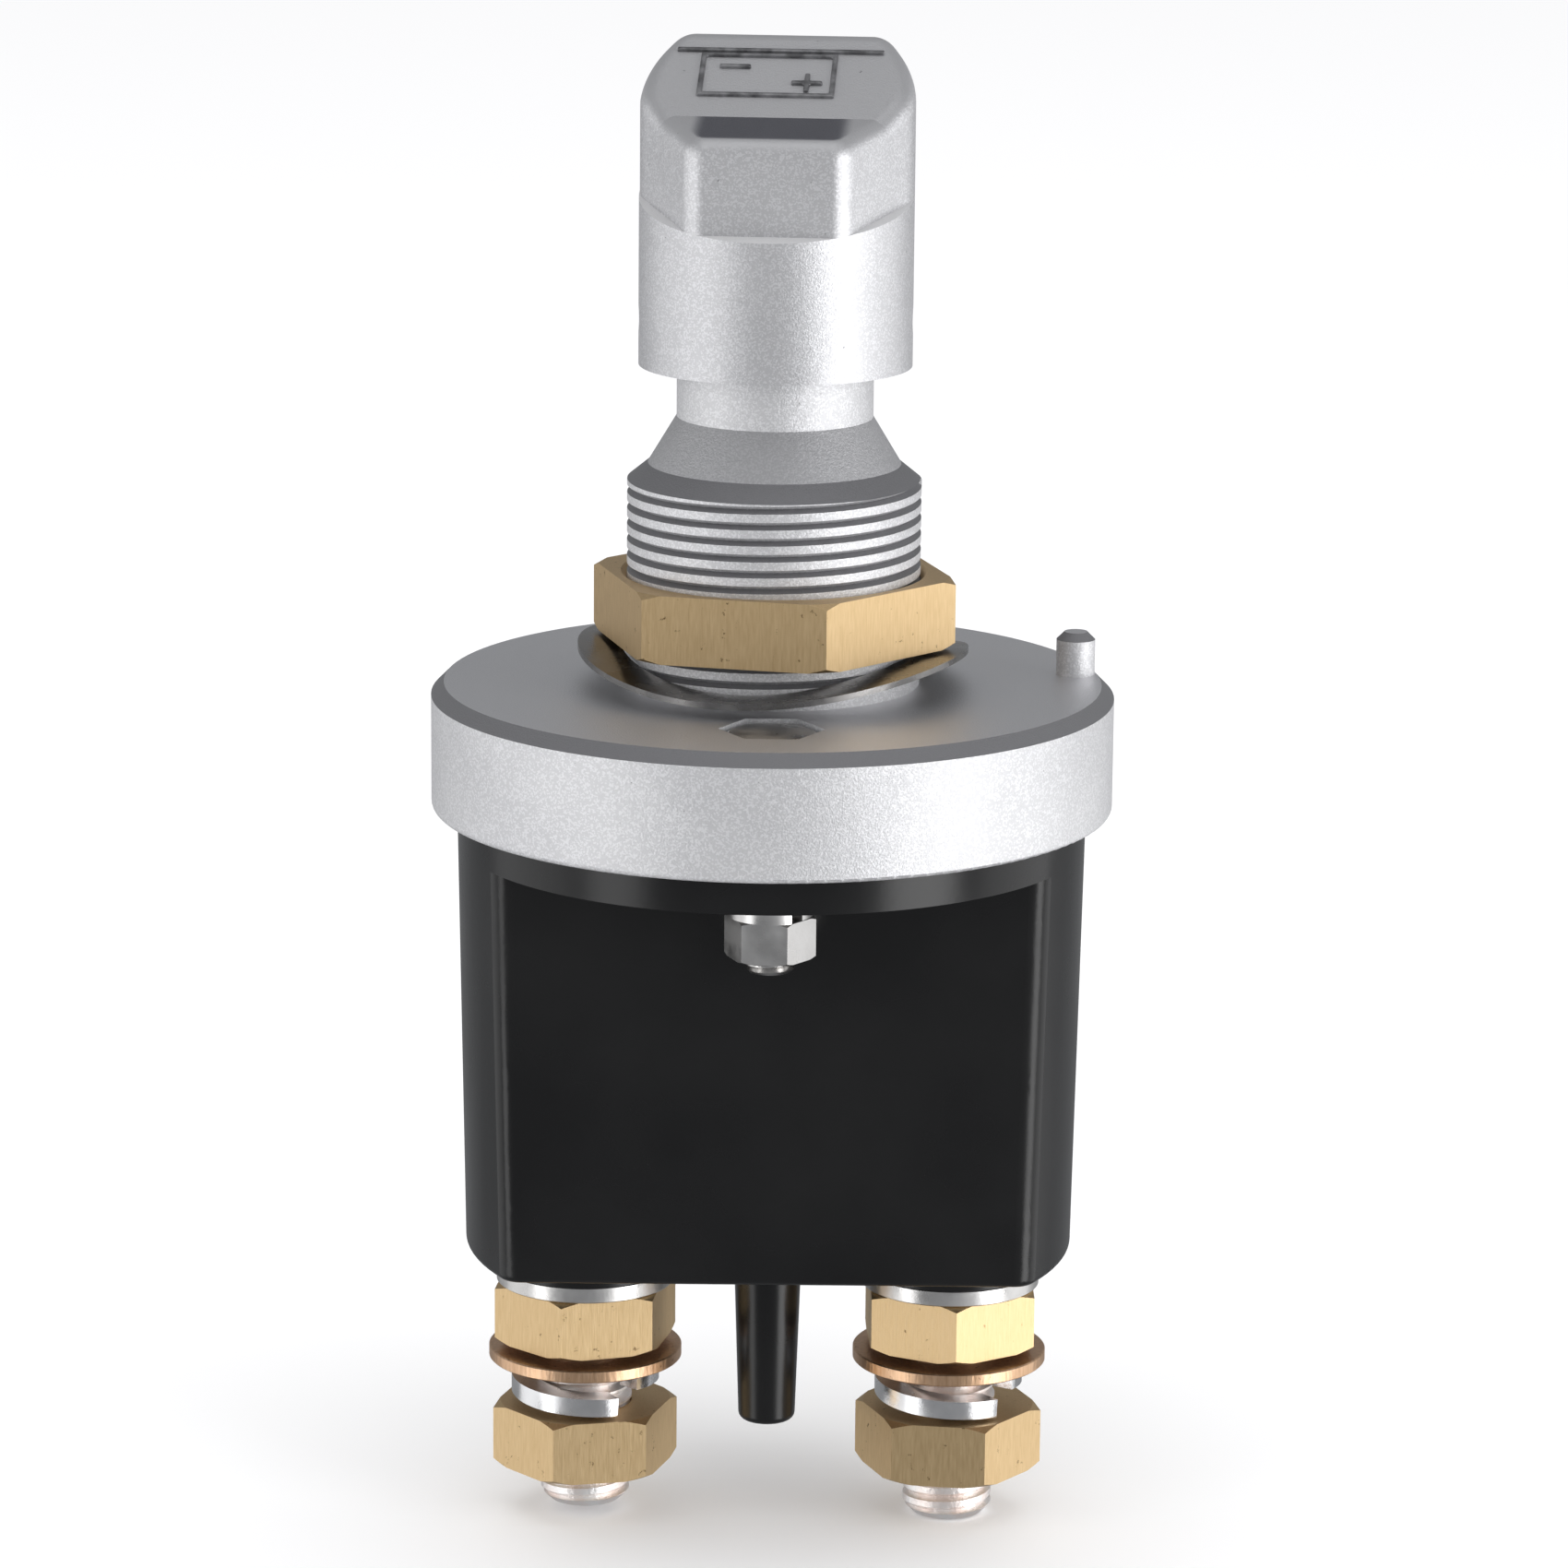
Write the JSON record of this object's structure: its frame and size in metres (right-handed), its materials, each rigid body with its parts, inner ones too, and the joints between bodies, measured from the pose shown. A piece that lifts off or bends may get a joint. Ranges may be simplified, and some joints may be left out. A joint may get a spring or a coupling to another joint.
{
  "type": "battery disconnect switch",
  "caption": "Panel-mounted battery disconnect switch: turn knob on a threaded neck with a round flange, over a black insulating body with two threaded terminal studs underneath.",
  "frame": {"origin": "centre of the flange's upper face, which goes against the panel, on the knob's axis", "axes": "+Z along the knob's axis towards the knob, -Y to the front, terminal studs on the X axis"},
  "size_m": [0.07, 0.07, 0.1545],
  "materials": {
    "housing_paint": "fine-grained silver paint on a die-casting",
    "knob_paint": "smooth silver paint on a die-casting",
    "steel": "zinc-plated steel",
    "bright_spring_steel": "bright plated spring steel",
    "dark_spring_steel": "blued spring steel",
    "brass": "drawn brass bar, cut and turned",
    "brass_washer": "stamped brass",
    "tinned_copper": "tinned copper",
    "copper": "bare copper",
    "black_moulding": "glossy black thermoset moulding",
    "slide_moulding": "brown thermoset moulding",
    "gasket_fibre": "grey sealing fibre",
    "seal_rubber": "black rubber"
  },
  "bodies": {
    "base": {"housing": "housing_paint", "panel_nut": "brass", "wave_washer": "dark_spring_steel", "body": "black_moulding", "gasket": "gasket_fibre", "flange_bolts": "steel", "flange_bolt_washers": "steel", "flange_bolt_spring_washers": "steel", "flange_bolt_nuts": "steel", "terminal_stud_left": "tinned_copper", "terminal_stud_right": "tinned_copper", "seat_washers": "steel", "terminal_nuts_upper": "brass", "terminal_washers": "brass_washer", "terminal_spring_washers": "bright_spring_steel", "terminal_nuts_lower": "brass"},
    "slide": {"carrier": "slide_moulding", "contact_bridge": "copper", "contact_spring": "bright_spring_steel"},
    "rotor": {"knob": "knob_paint", "knob_pin": "steel", "spindle": "steel", "seal_ring": "seal_rubber", "retaining_ring": "dark_spring_steel"}
  },
  "joints": [
    {"name": "slide_drop", "type": "slide", "parent": "base", "child": "slide", "axis": [0, 0, 1], "range_m": [-0.0025, 0]},
    {"name": "knob_turn", "type": "hinge", "parent": "slide", "child": "rotor", "pos_m": [0, 0, 0], "axis": [0, 0, 1], "range_deg": [-90, 0]}
  ],
  "couplings": [
    {"joint": "knob_turn", "follows": "slide_drop", "rad_per_m": 628.32}
  ]
}
